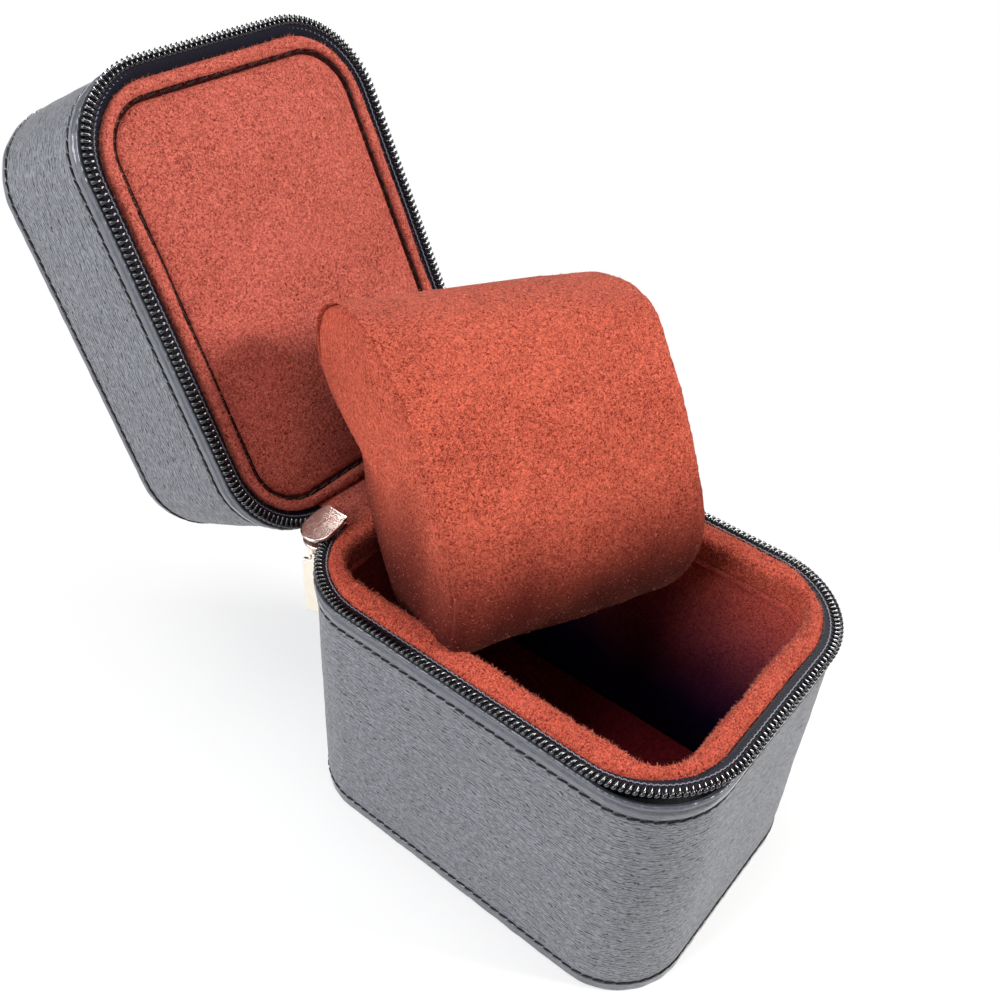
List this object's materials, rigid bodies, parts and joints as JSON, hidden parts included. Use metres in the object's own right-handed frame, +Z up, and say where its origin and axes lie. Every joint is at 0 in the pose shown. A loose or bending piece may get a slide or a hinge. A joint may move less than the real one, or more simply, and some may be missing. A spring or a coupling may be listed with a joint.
{
  "type": "watch travel case",
  "caption": "Zip-round travel case for one wristwatch: deep base, padded lid, grained leather outside, suede lining and a loose C-shaped watch cushion, shown open",
  "frame": {"origin": "middle of the underside of the base", "axes": "+X left to right seen from the front, +Y from the front to the hinge at the back, +Z up out of the base"},
  "size_m": [0.0791, 0.188, 0.157],
  "materials": {
    "leather_body": "grained",
    "leather_trim": "smooth",
    "suede_lining": "suede",
    "suede_cushion": "suede",
    "zip_tape": "woven",
    "zip_coil": "glossy",
    "slider_metal": "polished",
    "pull_metal": "satin",
    "thread": "twisted",
    "board": "plain",
    "foam": "foam"
  },
  "bodies": {
    "base": {"base_board": "board", "base_wrap": "leather_body", "base_bottom_band": "leather_trim", "base_underside": "leather_body", "base_lower_seam": "thread", "base_upper_seam": "thread", "base_turned_edge": "leather_trim", "base_zip_tape": "zip_tape", "base_zip_coil": "zip_coil", "zip_end_stops": "slider_metal", "base_foam_wall": "foam", "base_liner_wall": "suede_lining", "base_rim_pad": "suede_lining", "base_floor_pad": "suede_lining", "hinge_leather": "leather_body"},
    "lid": {"lid_board": "board", "lid_foam": "foam", "lid_wrap": "leather_body", "lid_outer_band": "leather_trim", "lid_top_panel": "leather_body", "lid_outer_seam": "thread", "lid_edge_seam": "thread", "lid_turned_edge": "leather_trim", "lid_zip_tape": "zip_tape", "lid_zip_coil": "zip_coil", "lid_rim_pad": "suede_lining", "lid_panel_pad": "suede_lining", "hinge_flap": "leather_body", "hinge_lining": "suede_lining"},
    "slider": {"slider_body": "slider_metal", "slider_bridge": "slider_metal"},
    "pull": {"pull_link": "pull_metal", "pull_tab": "pull_metal"},
    "cushion_heart": {"cushion_core": "foam"},
    "cushion": {"cushion_cover": "suede_cushion", "cushion_end_left": "suede_cushion", "cushion_end_right": "suede_cushion"}
  },
  "joints": [
    {"name": "lid_hinge", "type": "hinge", "parent": "base", "child": "lid", "pos_m": [0, 0.05165, 0.06855], "axis": [1, 0, 0], "range_deg": [0, 118.2]},
    {"name": "slider_travel", "type": "hinge", "parent": "base", "child": "slider", "pos_m": [-0.0163, 0.0289, 0.0693], "axis": [0, 0, 1], "range_deg": [0, 55]},
    {"name": "pull_swing", "type": "hinge", "parent": "slider", "child": "pull", "pos_m": [-0.02567, 0.05208, 0.0664], "axis": [-0.3746, 0.9272, 0], "range_deg": [-60, 60]},
    {"name": "cushion_drop", "type": "slide", "parent": "base", "child": "cushion_heart", "axis": [-0.1794, -0.5586, -0.8098], "range_m": [0, 0.05818]},
    {"name": "cushion_turn", "type": "hinge", "parent": "cushion_heart", "child": "cushion", "pos_m": [0.00613, 0.01856, 0.09136], "axis": [0, 0, 1], "range_deg": [0, 23.52]}
  ],
  "couplings": [
    {"joint": "cushion_drop", "follows": "lid_hinge", "m_per_rad": 0.028194},
    {"joint": "cushion_turn", "follows": "lid_hinge", "ratio": 0.19882}
  ]
}
